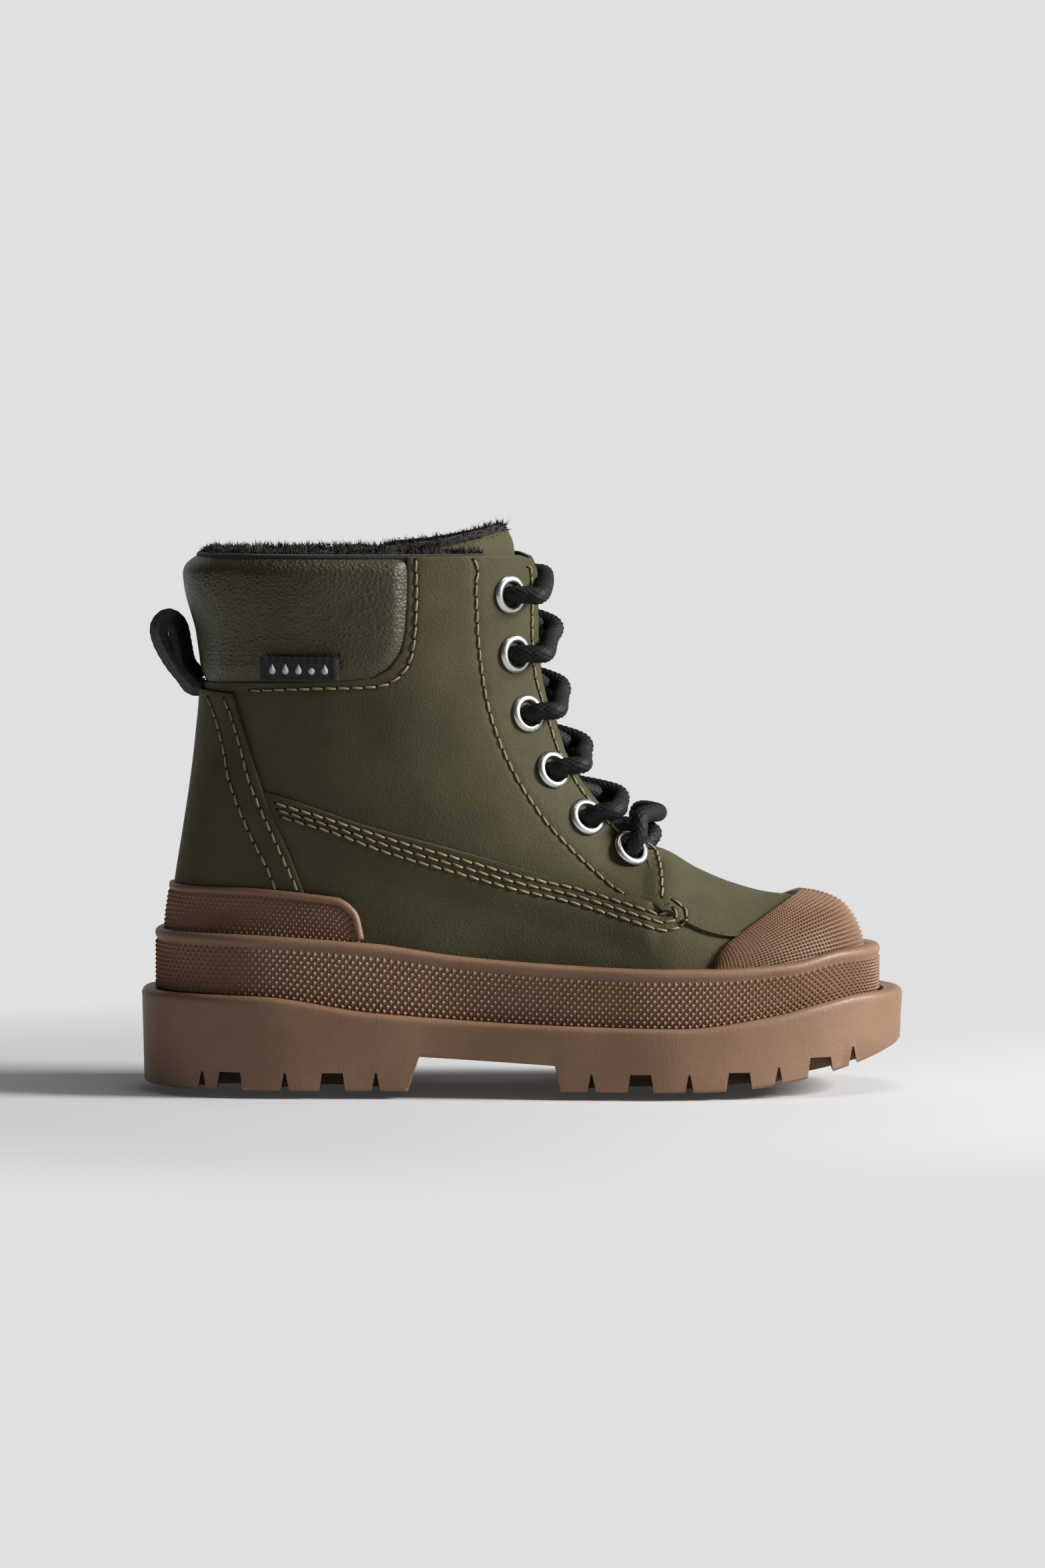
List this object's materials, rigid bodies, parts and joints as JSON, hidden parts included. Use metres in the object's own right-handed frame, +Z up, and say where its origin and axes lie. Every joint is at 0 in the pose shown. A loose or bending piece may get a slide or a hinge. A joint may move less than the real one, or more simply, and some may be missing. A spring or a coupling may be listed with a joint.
{
  "type": "insulated lace-up winter boot",
  "caption": "Child-size padded and pile-lined lace-up boot with a lugged rubber cup sole, textured heel rand and toe cap, padded collar, gusseted tongue and heel pull loop.",
  "frame": {"origin": "on the ground, at the middle of the sole's length and width", "axes": "+X to the toe, +Z up, +Y to the inner (medial) side of this right boot"},
  "size_m": [0.2178, 0.093, 0.1576],
  "materials": {
    "gum_rubber": "moulded gum rubber, fine pebble grain",
    "olive_nubuck": "matt brushed nubuck-like face",
    "olive_leather": "fine-grained soft leather",
    "dark_fabric": "thin woven textile",
    "dark_pile": "short dense pile",
    "black_webbing": "woven tape",
    "lace_cord": "round braided cord",
    "foam": "closed-cell foam",
    "fibre_board": "pressed fibre board",
    "polished_steel": "polished plated steel"
  },
  "bodies": {
    "root": {"outsole": "gum_rubber", "midsole": "gum_rubber", "heel_rand": "gum_rubber", "toe_cap": "gum_rubber", "midsole_core": "foam", "bottom_filler": "foam", "shank": "polished_steel", "insole_board": "fibre_board", "vamp": "olive_nubuck", "quarter_lateral": "olive_nubuck", "quarter_medial": "olive_nubuck", "backstay": "olive_nubuck", "collar_pad": "olive_leather", "collar_foam": "foam", "eyestay_reinforcement_lateral": "dark_fabric", "eyestay_reinforcement_medial": "dark_fabric", "heel_counter": "fibre_board", "toe_puff": "fibre_board", "waterproof_membrane": "dark_fabric", "insulation": "foam", "lining": "dark_pile", "gusset_lateral": "dark_fabric", "gusset_medial": "dark_fabric", "lace": "lace_cord", "eyelet_lateral_1": "polished_steel", "eyelet_lateral_2": "polished_steel", "eyelet_lateral_3": "polished_steel", "eyelet_lateral_4": "polished_steel", "eyelet_lateral_5": "polished_steel", "eyelet_lateral_6": "polished_steel", "eyelet_medial_1": "polished_steel", "eyelet_medial_2": "polished_steel", "eyelet_medial_3": "polished_steel", "eyelet_medial_4": "polished_steel", "eyelet_medial_5": "polished_steel", "eyelet_medial_6": "polished_steel"},
    "tongue_flap": {"tongue": "olive_nubuck", "tongue_padding": "foam", "tongue_lining": "dark_pile"},
    "heel_loop_body": {"heel_loop": "black_webbing"},
    "label_body": {"label": "black_webbing"},
    "footbed_body": {"footbed": "dark_pile"}
  },
  "joints": [
    {"name": "tongue_hinge", "type": "hinge", "parent": "root", "child": "tongue_flap", "pos_m": [0.0205, 0, 0.0705], "axis": [0, -1, 0], "range_deg": [0, 7]},
    {"name": "heel_loop_hinge", "type": "hinge", "parent": "root", "child": "heel_loop_body", "pos_m": [-0.0945, -0.0014, 0.1128], "axis": [0, -1, 0], "range_deg": [0, 25]},
    {"name": "label_hinge", "type": "hinge", "parent": "root", "child": "label_body", "pos_m": [-0.06276, -0.03866, 0.11535], "axis": [0.9775, -0.2108, 0], "range_deg": [0, 60]},
    {"name": "footbed_lift", "type": "hinge", "parent": "root", "child": "footbed_body", "pos_m": [0.086, 0.002, 0.031], "axis": [0, 1, 0], "range_deg": [0, 7]}
  ]
}
